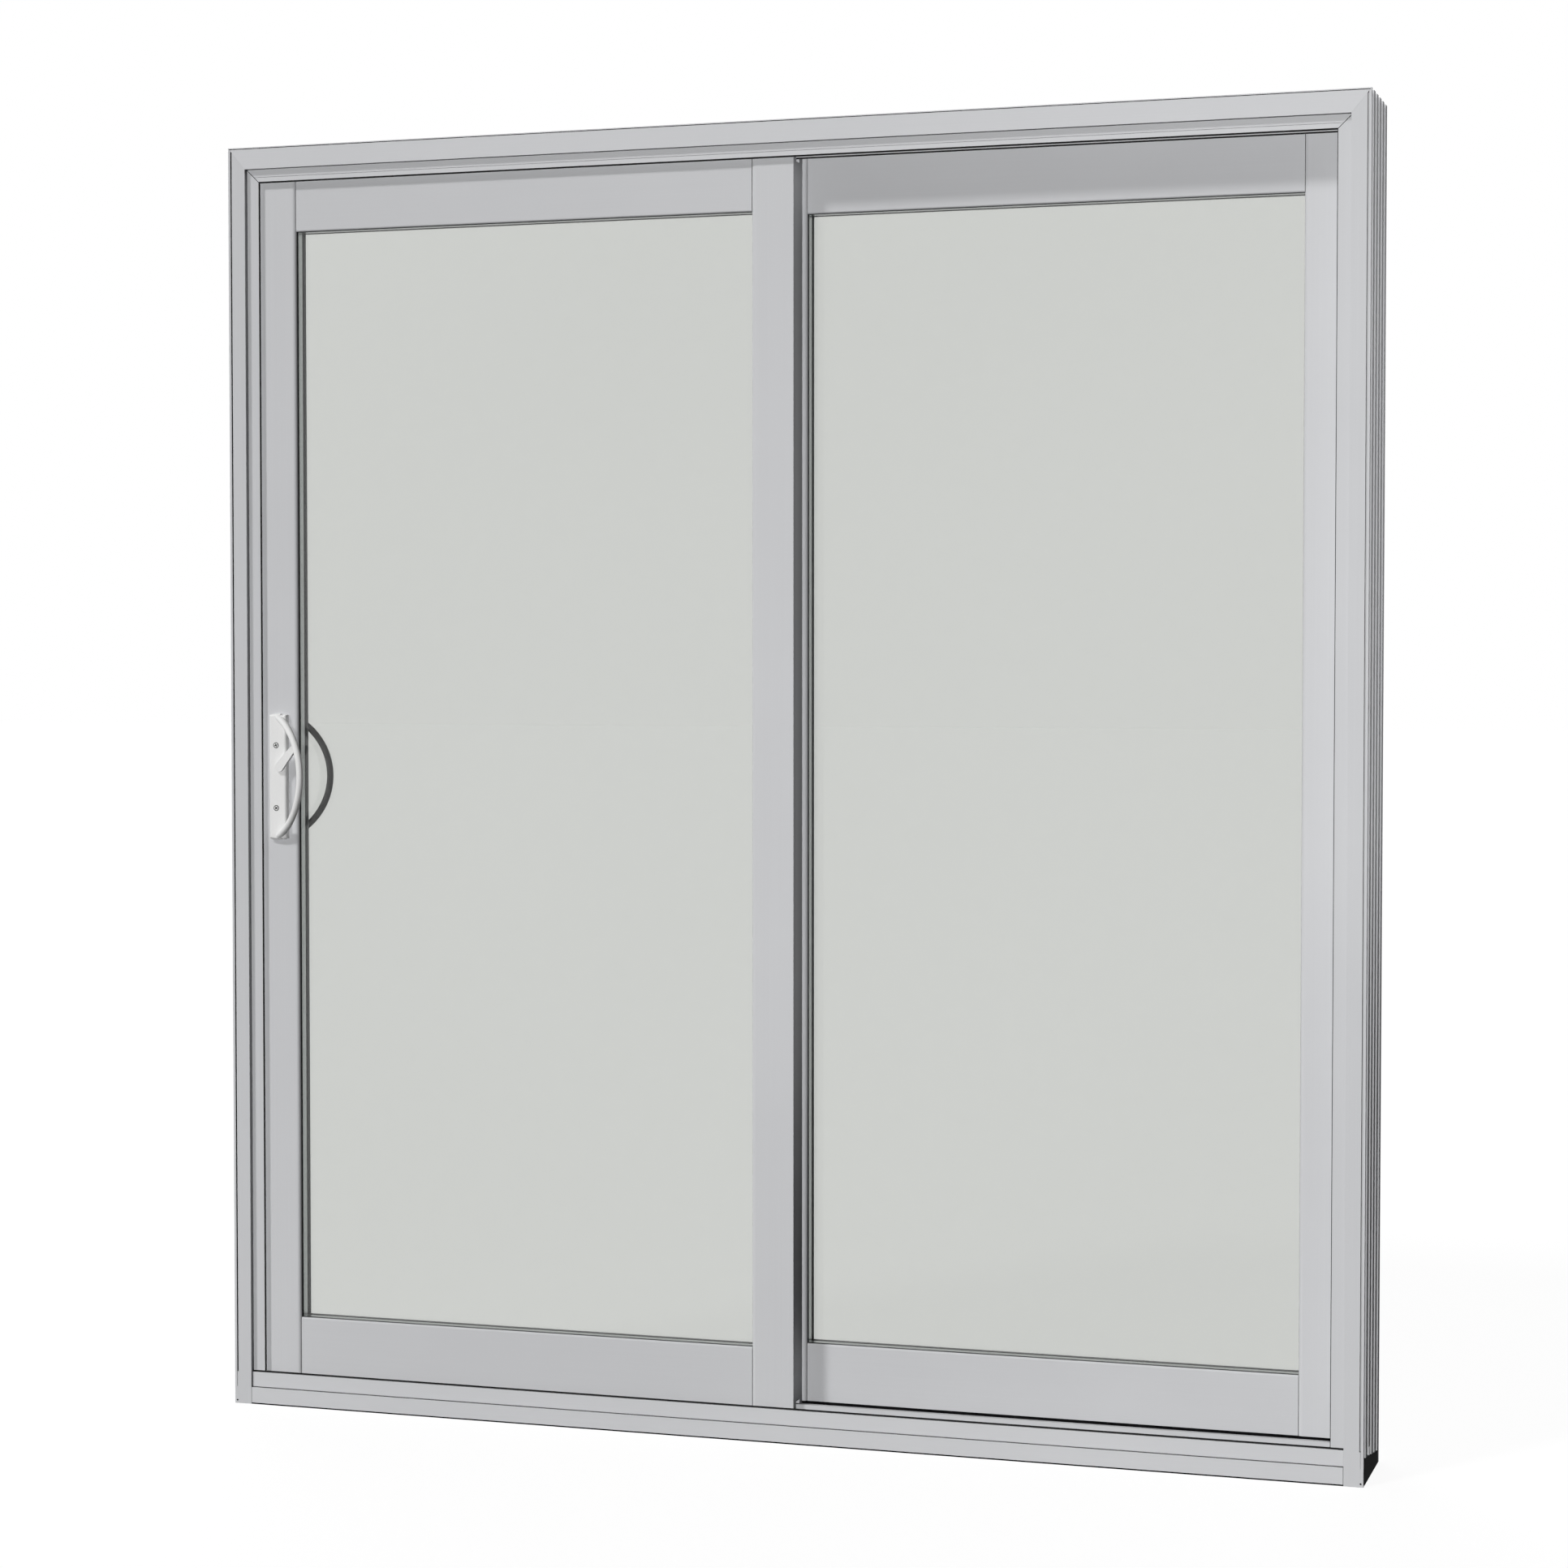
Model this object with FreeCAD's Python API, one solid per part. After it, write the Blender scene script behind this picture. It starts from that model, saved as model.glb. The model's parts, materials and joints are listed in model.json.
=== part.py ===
"""Two-panel glass sliding patio door in its frame, all sizes in millimetres.

The origin is under the middle of the sill. X runs to the right along the wall, Y runs
through the wall from the room to the outside, and Z runs up. A depth is counted from the
frame's room face, and y_at() turns a depth into Y.
"""
import FreeCAD
import Part
import math
import os

# Frame
FRAME_WIDTH = 1816.0
FRAME_HEIGHT = 2019.0
FRAME_DEPTH = 166.7
JAMB_FACE = 29.0
HEAD_FACE = 34.5
JAMB_LIP = 3.8
JAMB_GROOVE = 2.2
HEAD_LIP = 1.6
HEAD_GROOVE = 1.2
FACE_GROOVE_DEPTH = 5.0
FOOT_LINE = 0.8
RIB_COUNT = 5
RIB_START = 7.0
RIB_GROOVE = 16.0
RIB_DEPTH = 3.0
DRAIN_START = 54.0
DRAIN_LENGTH = 12.0
DRAIN_BOTTOM = 33.0
DRAIN_HEIGHT = 14.0
DRAIN_CUT = 5.0

# Stops that cover the panel edges on the room side
STOP_SETBACK = 9.0
STOP_THICKNESS = 4.0
JAMB_STOP = 20.0
HEAD_STOP = 19.5
STOP_LINE_HEIGHT = 6.6
STOP_LINE = 0.8
STOP_MITRE_GAP = 1.2
HEAD_SEAL = 2.0
JAMB_SEAL = 1.0

# Sill
FASCIA_HEIGHT = 27.4
FASCIA_DEPTH = 12.8
UPSTAND_TOP = 51.6
UPSTAND_SETBACK = 4.0
UPSTAND_THICKNESS = 4.0
FASCIA_BOTTOM = 2.2
TOE_SETBACK = 0.6
FASCIA_LINE = 1.0
FASCIA_LINE_DEPTH = 2.0
FASCIA_JOINT = 0.6
SILL_SEAL_RISE = 2.0
SILL_SEAL_THICKNESS = 2.5
SILL_SEAL_HEIGHT = 8.0
SILL_FRONT = 39.6
SILL_BACK = 20.0
NOSING_DEPTH = 14.7
NOSING_HEIGHT = 16.0
TRACK_TOP = 54.5
TRACK_THICKNESS = 8.0
TRACK_FOOT = 26.0
TRACK_FOOT_HEIGHT = 3.0
RISER_SETBACK = 4.0

# Head guide
GUIDE_DROP = 20.5
GUIDE_THICKNESS = 6.0
GUIDE_FOOT = 22.0
GUIDE_FOOT_HEIGHT = 3.0
GUIDE_PILE = 1.5

# Panels
PANEL_SETBACK = 18.0
PANEL_THICKNESS = 44.5
PANEL_GAP = 8.2
LOCK_SIDE_GAP = 12.7
FIXED_SIDE_GAP = 9.9
SLIDING_PAST_CENTRE = 34.6
FIXED_PAST_CENTRE = 27.6
SILL_COVER = 2.6
FIXED_LIFT = 3.3
HEAD_COVER = 4.0
STILE_WIDTH = 67.5
TOP_RAIL = 84.6
BOTTOM_RAIL = 93.3
RAIL_SETBACK = 2.5
RAIL_ROUND = 3.0
SIGHT_ROUND = 6.0
GASKET_DEPTH = 1.5
GASKET_WIDTH = 3.0
PANE_THICKNESS = 4.0
CAVITY = 14.0
EDGE_COVER = 10.0
RUN_CLEARANCE = 5.0
SEAL_THICKNESS = 3.0
SEAL_WIDTH = 15.0

# Rollers under the sliding panel
ROLLER_INSET = 90.0
ROLLER_RADIUS = 16.0
ROLLER_FLANGE = 2.0
ROLLER_WIDTH = 11.0
ROLLER_GAP = 0.3
AXLE_RADIUS = 3.0
CARRIAGE_LENGTH = 70.0
CARRIAGE_WALL = 2.5
CARRIAGE_HEADROOM = 4.0

# Handle set
HANDLE_HEIGHT = 1015.0
PLATE_EDGE_MARGIN = 20.3
PLATE_WIDTH = 31.0
PLATE_HEIGHT = 202.5
PLATE_THICKNESS = 10.0
PLATE_ARCH = 2.0
PLATE_ROUND = 4.5
PLATE_NOTCH_WIDTH = 5.0
PLATE_NOTCH_HEIGHT = 3.0
PLATE_NOTCH_INSET = 6.0
PULL_OFFSET = 7.0
PULL_SPAN = 182.0
PULL_REACH = 44.4
PULL_STANDOFF = 25.0
PULL_ROOT = 8.0
PULL_DEPTH = 5.2
PULL_BREADTH = 5.4
PULL_FLARE = 0.15
PULL_FLARE_POWER = 6
PULL_SECTIONS = 21
PULL_SIDES = 24
LEVER_RISE = 15.6
LEVER_OFFSET = 5.0
LEVER_LENGTH = 38.0
LEVER_ANGLE = 50.0
LEVER_HUB = 7.5
LEVER_TIP = 5.0
LEVER_THICKNESS = 6.0
LEVER_GAP = 0.3
SPINDLE_RADIUS = 4.0
SPINDLE_LENGTH = 6.0
SPINDLE_CLEARANCE = 0.3

# Lock edge
LOCK_PLATE_WIDTH = 24.0
LOCK_PLATE_HEIGHT = 160.0
LOCK_PLATE_THICKNESS = 2.0
LOCK_SLOT_WIDTH = 9.0
LOCK_SLOT_HEIGHT = 46.0

# Two places closer than this count as one
SAME_PLACE = 1e-6

# Places worked out from the sizes above
HALF_WIDTH = FRAME_WIDTH / 2
JAMB_INNER = HALF_WIDTH - JAMB_FACE
STOP_INNER = JAMB_INNER - JAMB_STOP
HEAD_INNER = FRAME_HEIGHT - HEAD_FACE
HEAD_STOP_EDGE = HEAD_INNER - HEAD_STOP
PANEL_BOTTOM = UPSTAND_TOP - SILL_COVER
FIXED_BOTTOM = PANEL_BOTTOM + FIXED_LIFT
PANEL_TOP = HEAD_STOP_EDGE + HEAD_COVER
FIXED_SETBACK = PANEL_SETBACK + PANEL_THICKNESS + PANEL_GAP
FIXED_BACK = FIXED_SETBACK + PANEL_THICKNESS
SLIDING_BACK = PANEL_SETBACK + PANEL_THICKNESS
SLIDING_LEFT = LOCK_SIDE_GAP - JAMB_INNER
SLIDING_RIGHT = SLIDING_PAST_CENTRE
FIXED_LEFT = -FIXED_PAST_CENTRE
FIXED_RIGHT = JAMB_INNER - FIXED_SIDE_GAP
TRACK_CENTRE = PANEL_SETBACK + PANEL_THICKNESS / 2
GUIDE_BOTTOM = HEAD_INNER - GUIDE_DROP
NOSING_FRONT = FRAME_DEPTH - NOSING_DEPTH
RIB_PITCH = (FRAME_DEPTH - RIB_START) / RIB_COUNT
UPSTAND_BACK = UPSTAND_SETBACK + UPSTAND_THICKNESS
SILL_SEAL_TOP = UPSTAND_TOP + SILL_SEAL_RISE
PANE_SETBACK = SIGHT_ROUND + GASKET_DEPTH
UNIT_THICKNESS = 2 * PANE_THICKNESS + CAVITY
SLOT_WIDTH = TRACK_THICKNESS + 2 * RUN_CLEARANCE
AXLE_HEIGHT = TRACK_TOP + ROLLER_GAP + ROLLER_RADIUS
CARRIAGE_TOP = AXLE_HEIGHT + ROLLER_RADIUS + ROLLER_FLANGE + CARRIAGE_HEADROOM
PLATE_LEFT = SLIDING_LEFT + PLATE_EDGE_MARGIN
PLATE_CENTRE = PLATE_LEFT + PLATE_WIDTH / 2
LEVER_X = PLATE_CENTRE + LEVER_OFFSET
LEVER_Z = HANDLE_HEIGHT + LEVER_RISE


def y_at(depth):
    """Y of a depth counted from the frame's room face."""
    return depth - FRAME_DEPTH / 2


def box(x_range, depth_range, z_range):
    """Upright box between two X, two depths and two heights."""
    corner = FreeCAD.Vector(x_range[0], y_at(depth_range[0]), z_range[0])
    length = x_range[1] - x_range[0]
    width = depth_range[1] - depth_range[0]
    return Part.makeBox(length, width, z_range[1] - z_range[0], corner)


def prism(points, travel):
    """Straight extrusion of a closed outline of points."""
    outline = Part.makePolygon(points + points[:1])
    return Part.Face(outline).extrude(travel)


def along_x(outline, x_range):
    """Extrude an outline of (depth, z) points along X."""
    points = [FreeCAD.Vector(x_range[0], y_at(depth), z) for depth, z in outline]
    return prism(points, FreeCAD.Vector(x_range[1] - x_range[0], 0, 0))


def along_y(outline, depth_range):
    """Extrude an outline of (x, z) points through the wall."""
    points = [FreeCAD.Vector(x, y_at(depth_range[0]), z) for x, z in outline]
    return prism(points, FreeCAD.Vector(0, depth_range[1] - depth_range[0], 0))


def along_z(outline, z_range):
    """Extrude an outline of (x, depth) points upward."""
    points = [FreeCAD.Vector(x, y_at(depth), z_range[0]) for x, depth in outline]
    return prism(points, FreeCAD.Vector(0, 0, z_range[1] - z_range[0]))


def across_y(radius, depth_range, x, z):
    """Cylinder through the wall between two depths."""
    base = FreeCAD.Vector(x, y_at(depth_range[0]), z)
    return Part.makeCylinder(radius, depth_range[1] - depth_range[0], base, FreeCAD.Vector(0, 1, 0))


def mirrored(shape):
    """The same piece on the other side of the door's middle."""
    return shape.mirror(FreeCAD.Vector(0, 0, 0), FreeCAD.Vector(1, 0, 0))


def save(name, shape):
    """Write one piece to a file of its own name."""
    shape.exportStep(os.path.join("parts", name + ".step"))


def frame_outline(outer, face, stop):
    """Section of a jamb or the head as (place, depth), with outer the larger place."""
    inner = outer - face
    outline = [(inner, 0), (outer, 0)]
    for rib in range(RIB_COUNT):
        start = RIB_START + rib * RIB_PITCH
        end = start + RIB_GROOVE
        outline += [(outer, start), (outer - RIB_DEPTH, start), (outer - RIB_DEPTH, end), (outer, end)]
    outline += [(outer, FRAME_DEPTH), (inner - stop, FRAME_DEPTH)]
    outline += [(inner - stop, FIXED_BACK), (inner, FIXED_BACK)]
    return outline


def head_region(depth_range, drop):
    """Space of the head between the mitres at its corners, lowered by a drop."""
    right = [(HALF_WIDTH, FRAME_HEIGHT), (JAMB_INNER, HEAD_INNER), (STOP_INNER, HEAD_STOP_EDGE)]
    left = [(-x, z) for x, z in reversed(right)]
    return along_y([(x, z - drop) for x, z in right + left], depth_range)


def sill_height(depth):
    """Height of the sloping sill at a depth."""
    share = (depth - FASCIA_DEPTH) / (NOSING_FRONT - FASCIA_DEPTH)
    return SILL_FRONT + (SILL_BACK - SILL_FRONT) * share


def make_head(region):
    """Ribbed head with the groove near the top of its face."""
    section = frame_outline(FRAME_HEIGHT, HEAD_FACE, HEAD_STOP)
    head = along_x([(depth, z) for z, depth in section], (-HALF_WIDTH, HALF_WIDTH))
    groove_top = FRAME_HEIGHT - HEAD_LIP
    groove = box((-HALF_WIDTH, HALF_WIDTH), (0, FACE_GROOVE_DEPTH), (groove_top - HEAD_GROOVE, groove_top))
    save("head_jamb", head.common(region).cut(groove))


def make_jambs(region):
    """Ribbed jambs, mitred to the head and standing over the ends of the sill."""
    jamb = along_z(frame_outline(HALF_WIDTH, JAMB_FACE, JAMB_STOP), (0, FRAME_HEIGHT))
    jamb = jamb.cut(region).cut(sill_core_solid())
    groove_outer = HALF_WIDTH - JAMB_LIP
    groove_inner = groove_outer - JAMB_GROOVE
    jamb = jamb.cut(box((groove_inner, groove_outer), (0, FACE_GROOVE_DEPTH), (UPSTAND_TOP, FRAME_HEIGHT)))
    line = (groove_outer - FOOT_LINE, groove_outer)
    jamb = jamb.cut(box(line, (0, FOOT_LINE), (FASCIA_HEIGHT, UPSTAND_TOP)))
    jamb = jamb.cut(box((HALF_WIDTH - DRAIN_CUT, HALF_WIDTH), (DRAIN_START, DRAIN_START + DRAIN_LENGTH),
                        (DRAIN_BOTTOM, DRAIN_BOTTOM + DRAIN_HEIGHT)))
    save("fixed_jamb", jamb)
    save("lock_jamb", mirrored(jamb))


def make_stops(region):
    """Stops that lap the panels and the seal along their edges."""
    depths = (STOP_SETBACK, STOP_SETBACK + STOP_THICKNESS)
    jamb_stop = box((STOP_INNER, JAMB_INNER), depths, (SILL_SEAL_TOP, FRAME_HEIGHT)).cut(region)
    jamb_stop = jamb_stop.cut(head_region(depths, STOP_MITRE_GAP))
    save("fixed_stop", jamb_stop)
    save("lock_stop", mirrored(jamb_stop))

    head_stop = box((-JAMB_INNER, JAMB_INNER), depths, (HEAD_STOP_EDGE, HEAD_INNER)).common(region)
    line_bottom = HEAD_STOP_EDGE + STOP_LINE_HEIGHT
    line = box((-JAMB_INNER, JAMB_INNER), (STOP_SETBACK, STOP_SETBACK + STOP_LINE),
               (line_bottom, line_bottom + STOP_LINE))
    save("head_stop", head_stop.cut(line))

    seal = box((-STOP_INNER, STOP_INNER), depths, (SILL_SEAL_TOP, HEAD_STOP_EDGE))
    seal_inner = STOP_INNER - JAMB_SEAL
    seal = seal.cut(box((-seal_inner, seal_inner), depths, (SILL_SEAL_TOP, HEAD_STOP_EDGE - HEAD_SEAL)))
    save("stop_seal", seal)


def make_head_guide():
    """Guide under the head for the sliding panel, tipped with pile."""
    guide_half = GUIDE_THICKNESS / 2
    foot_half = GUIDE_FOOT / 2
    foot_bottom = HEAD_INNER - GUIDE_FOOT_HEIGHT
    pile_top = GUIDE_BOTTOM + GUIDE_PILE
    right = [(foot_half, HEAD_INNER), (foot_half, foot_bottom)]
    right += [(guide_half, foot_bottom), (guide_half, pile_top)]
    left = [(-depth, z) for depth, z in reversed(right)]
    between_jambs = (-JAMB_INNER, JAMB_INNER)
    save("head_guide", along_x([(TRACK_CENTRE + depth, z) for depth, z in right + left], between_jambs))
    save("guide_pile", box(between_jambs, slot_depths(GUIDE_THICKNESS), (GUIDE_BOTTOM, pile_top)))


def sill_core_solid():
    """Sloping sill under the panels, as long as the frame is wide."""
    outline = [(FASCIA_DEPTH, 0), (NOSING_FRONT, 0), (NOSING_FRONT, SILL_BACK), (FASCIA_DEPTH, SILL_FRONT)]
    return along_x(outline, (-HALF_WIDTH, HALF_WIDTH))


def make_sill():
    """Sill core, its room fascia and outside nosing, the track and the fixed panel's riser."""
    between_jambs = (-JAMB_INNER, JAMB_INNER)
    toe = box(between_jambs, (TOE_SETBACK, FASCIA_DEPTH), (0, FASCIA_BOTTOM))
    save("sill_core", sill_core_solid().fuse(toe).removeSplitter())

    line_top = FASCIA_HEIGHT + FASCIA_LINE
    line_back = UPSTAND_SETBACK + FASCIA_LINE_DEPTH
    fascia = [(0, FASCIA_BOTTOM), (0, FASCIA_HEIGHT), (line_back, FASCIA_HEIGHT)]
    fascia += [(line_back, line_top), (UPSTAND_SETBACK, line_top)]
    fascia += [(UPSTAND_SETBACK, UPSTAND_TOP), (UPSTAND_BACK, UPSTAND_TOP)]
    fascia += [(UPSTAND_BACK, FASCIA_HEIGHT), (FASCIA_DEPTH, FASCIA_HEIGHT), (FASCIA_DEPTH, FASCIA_BOTTOM)]
    fascia_end = JAMB_INNER - FASCIA_JOINT
    save("sill_fascia", along_x(fascia, (-fascia_end, fascia_end)))
    seal_depths = (UPSTAND_BACK, UPSTAND_BACK + SILL_SEAL_THICKNESS)
    save("sill_seal", box(between_jambs, seal_depths, (SILL_SEAL_TOP - SILL_SEAL_HEIGHT, SILL_SEAL_TOP)))

    nosing = [(NOSING_FRONT, 0), (FRAME_DEPTH, 0), (FRAME_DEPTH, NOSING_HEIGHT), (NOSING_FRONT, SILL_BACK)]
    save("sill_nosing", along_x(nosing, (-STOP_INNER, STOP_INNER)))

    foot_front = TRACK_CENTRE - TRACK_FOOT / 2
    foot_back = TRACK_CENTRE + TRACK_FOOT / 2
    rail_front = TRACK_CENTRE - TRACK_THICKNESS / 2
    rail_back = TRACK_CENTRE + TRACK_THICKNESS / 2
    track = [(foot_front, sill_height(foot_front)), (foot_back, sill_height(foot_back))]
    for depth in (foot_back, rail_back):
        track.append((depth, sill_height(depth) + TRACK_FOOT_HEIGHT))
    track += [(rail_back, TRACK_TOP), (rail_front, TRACK_TOP)]
    for depth in (rail_front, foot_front):
        track.append((depth, sill_height(depth) + TRACK_FOOT_HEIGHT))
    save("roller_track", along_x(track, between_jambs))

    riser_front = FIXED_SETBACK + RISER_SETBACK
    riser_back = FIXED_BACK - RISER_SETBACK
    riser = [(riser_front, sill_height(riser_front)), (riser_back, sill_height(riser_back))]
    riser += [(riser_back, FIXED_BOTTOM), (riser_front, FIXED_BOTTOM)]
    save("fixed_panel_riser", along_x(riser, (FIXED_LEFT, JAMB_INNER)))
    packer = box((FIXED_LEFT, JAMB_INNER), (riser_front, riser_back), (PANEL_TOP, HEAD_INNER))
    save("fixed_panel_packer", packer)


def grown(opening, margin):
    """An (x range, z range) opening made larger by a margin on every side."""
    (x0, x1), (z0, z1) = opening
    return (x0 - margin, x1 + margin), (z0 - margin, z1 + margin)


def ring(opening, margin, depth_range):
    """Rectangular ring round an opening."""
    outer_x, outer_z = grown(opening, margin)
    return box(outer_x, depth_range, outer_z).cut(box(opening[0], depth_range, opening[1]))


def long_edges(member, axis, place):
    """Edges that run along a stile or rail where one coordinate has a given value."""
    chosen = []
    for edge in member.Edges:
        off_place = [abs(getattr(vertex.Point, axis) - place) for vertex in edge.Vertexes]
        if edge.Length > PANEL_THICKNESS and max(off_place) < SAME_PLACE:
            chosen.append(edge)
    return chosen


def panel_opening(left, right):
    """Glass opening of a panel as (x range, z range)."""
    return (left + STILE_WIDTH, right - STILE_WIDTH), (PANEL_BOTTOM + BOTTOM_RAIL, PANEL_TOP - TOP_RAIL)


def stile(x_range, bottom, sight, setback):
    """Full-height stile with its edges rounded at the sight line."""
    solid = box(x_range, (setback, setback + PANEL_THICKNESS), (bottom, PANEL_TOP))
    return solid.makeFillet(SIGHT_ROUND, long_edges(solid, "x", sight))


def rail(x_range, z_range, sight, setback):
    """Rail between the stiles, set back from their faces and rounded at the sight line."""
    solid = box(x_range, (setback + RAIL_SETBACK, setback + PANEL_THICKNESS - RAIL_SETBACK), z_range)
    return solid.makeFillet(RAIL_ROUND, long_edges(solid, "z", sight))


def save_panel(left, right, bottom, setback, names, grooves):
    """Stiles and rails of a panel with its sealed glass unit, less some grooves."""
    opening = panel_opening(left, right)
    (sight_left, sight_right), (sight_bottom, sight_top) = opening
    unit_front = setback + PANE_SETBACK
    unit_back = unit_front + UNIT_THICKNESS
    pane_x, pane_z = grown(opening, EDGE_COVER)
    gasket_x, gasket_z = grown(opening, GASKET_WIDTH)
    rebates = [box(pane_x, (unit_front, unit_back), pane_z),
               box(gasket_x, (unit_front - GASKET_DEPTH, unit_back + GASKET_DEPTH), gasket_z)]

    members = {
        "left_stile": stile((left, sight_left), bottom, sight_left, setback),
        "right_stile": stile((sight_right, right), bottom, sight_right, setback),
        "top_rail": rail(opening[0], (sight_top, PANEL_TOP), sight_top, setback),
        "bottom_rail": rail(opening[0], (bottom, sight_bottom), sight_bottom, setback),
    }
    for part, member in members.items():
        for space in rebates + grooves:
            member = member.cut(space)
        save(names[part], member)

    save(names["inner_pane"], box(pane_x, (unit_front, unit_front + PANE_THICKNESS), pane_z))
    save(names["outer_pane"], box(pane_x, (unit_back - PANE_THICKNESS, unit_back), pane_z))
    cavity = (unit_front + PANE_THICKNESS, unit_back - PANE_THICKNESS)
    save(names["spacer"], ring(opening, EDGE_COVER, cavity))
    front_gasket = ring(opening, GASKET_WIDTH, (unit_front - GASKET_DEPTH, unit_front))
    back_gasket = ring(opening, GASKET_WIDTH, (unit_back, unit_back + GASKET_DEPTH))
    save(names["gaskets"], Part.makeCompound([front_gasket, back_gasket]))


def panel_names(prefix, left_stile, right_stile):
    """Names of one panel's pieces."""
    names = {part: prefix + "_" + part for part in ("top_rail", "bottom_rail", "spacer", "gaskets")}
    names["inner_pane"] = prefix + "_inner_pane"
    names["outer_pane"] = prefix + "_outer_pane"
    names["left_stile"] = prefix + "_" + left_stile
    names["right_stile"] = prefix + "_" + right_stile
    return names


def make_fixed_panel():
    """Fixed panel in the outside channel and the seal where the panels meet."""
    names = panel_names("fixed", "meeting_stile", "jamb_stile")
    save_panel(FIXED_LEFT, FIXED_RIGHT, FIXED_BOTTOM, FIXED_SETBACK, names, [])
    seal_left = FIXED_LEFT + (STILE_WIDTH - SEAL_WIDTH) / 2
    seal = box((seal_left, seal_left + SEAL_WIDTH), (FIXED_SETBACK - SEAL_THICKNESS, FIXED_SETBACK),
               (FIXED_BOTTOM, PANEL_TOP))
    save("meeting_seal", seal)


def roller_places():
    """X of the two rollers, one near each stile."""
    return SLIDING_LEFT + STILE_WIDTH + ROLLER_INSET, SLIDING_RIGHT - STILE_WIDTH - ROLLER_INSET


def slot_depths(width):
    """Depth range of something centred over the track."""
    return TRACK_CENTRE - width / 2, TRACK_CENTRE + width / 2


def lock_slot(x_range, z_centre):
    """Opening for the latch through a lock plate."""
    half = LOCK_SLOT_HEIGHT / 2
    return box(x_range, slot_depths(LOCK_SLOT_WIDTH), (z_centre - half, z_centre + half))


def make_sliding_panel():
    """Sliding panel, grooved over the track and under the head guide, and its lock plates."""
    wide = (SLIDING_LEFT, SLIDING_RIGHT)
    guide_slot = GUIDE_THICKNESS + 2 * RUN_CLEARANCE
    grooves = [box(wide, slot_depths(SLOT_WIDTH), (PANEL_BOTTOM, TRACK_TOP + RUN_CLEARANCE)),
               box(wide, slot_depths(guide_slot), (GUIDE_BOTTOM - RUN_CLEARANCE, PANEL_TOP))]
    for x in roller_places():
        pocket = (x - CARRIAGE_LENGTH / 2, x + CARRIAGE_LENGTH / 2)
        grooves.append(box(pocket, slot_depths(SLOT_WIDTH), (PANEL_BOTTOM, CARRIAGE_TOP)))

    plate_half = LOCK_PLATE_HEIGHT / 2
    plate_z = (HANDLE_HEIGHT - plate_half, HANDLE_HEIGHT + plate_half)
    plate_x = (SLIDING_LEFT, SLIDING_LEFT + LOCK_PLATE_THICKNESS)
    face_plate = box(plate_x, slot_depths(LOCK_PLATE_WIDTH), plate_z)
    grooves.append(face_plate)
    save("latch_face_plate", face_plate.cut(lock_slot(plate_x, HANDLE_HEIGHT)))
    keeper_x = (-JAMB_INNER, -JAMB_INNER + LOCK_PLATE_THICKNESS)
    keeper = box(keeper_x, slot_depths(LOCK_PLATE_WIDTH), plate_z)
    save("keeper_plate", keeper.cut(lock_slot(keeper_x, HANDLE_HEIGHT)))

    names = panel_names("sliding", "lock_stile", "meeting_stile")
    save_panel(SLIDING_LEFT, SLIDING_RIGHT, PANEL_BOTTOM, PANEL_SETBACK, names, grooves)


def roller_wheel(x):
    """Grooved wheel on its axle, sitting over the track."""
    rim = ROLLER_RADIUS + ROLLER_FLANGE
    wheel = across_y(rim, slot_depths(ROLLER_WIDTH), x, AXLE_HEIGHT)
    groove = slot_depths(TRACK_THICKNESS + 2 * ROLLER_GAP)
    tyre = across_y(rim, groove, x, AXLE_HEIGHT).cut(across_y(ROLLER_RADIUS, groove, x, AXLE_HEIGHT))
    axle = across_y(AXLE_RADIUS, slot_depths(SLOT_WIDTH), x, AXLE_HEIGHT)
    return wheel.cut(tyre).fuse(axle).removeSplitter()


def roller_carriage(x):
    """Steel channel that carries a wheel in the bottom rail."""
    half = CARRIAGE_LENGTH / 2
    bottom = TRACK_TOP + RUN_CLEARANCE
    shell = box((x - half, x + half), slot_depths(SLOT_WIDTH), (bottom, CARRIAGE_TOP))
    hollow = slot_depths(SLOT_WIDTH - 2 * CARRIAGE_WALL)
    shell = shell.cut(box((x - half, x + half), hollow, (bottom, CARRIAGE_TOP - CARRIAGE_WALL)))
    return shell.cut(across_y(AXLE_RADIUS, slot_depths(SLOT_WIDTH), x, AXLE_HEIGHT))


def make_rollers():
    """The two rollers that carry the sliding panel."""
    for end, x in zip(("lock_end", "meeting_end"), roller_places()):
        save(end + "_roller", roller_wheel(x))
        save(end + "_carriage", roller_carriage(x))


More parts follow.
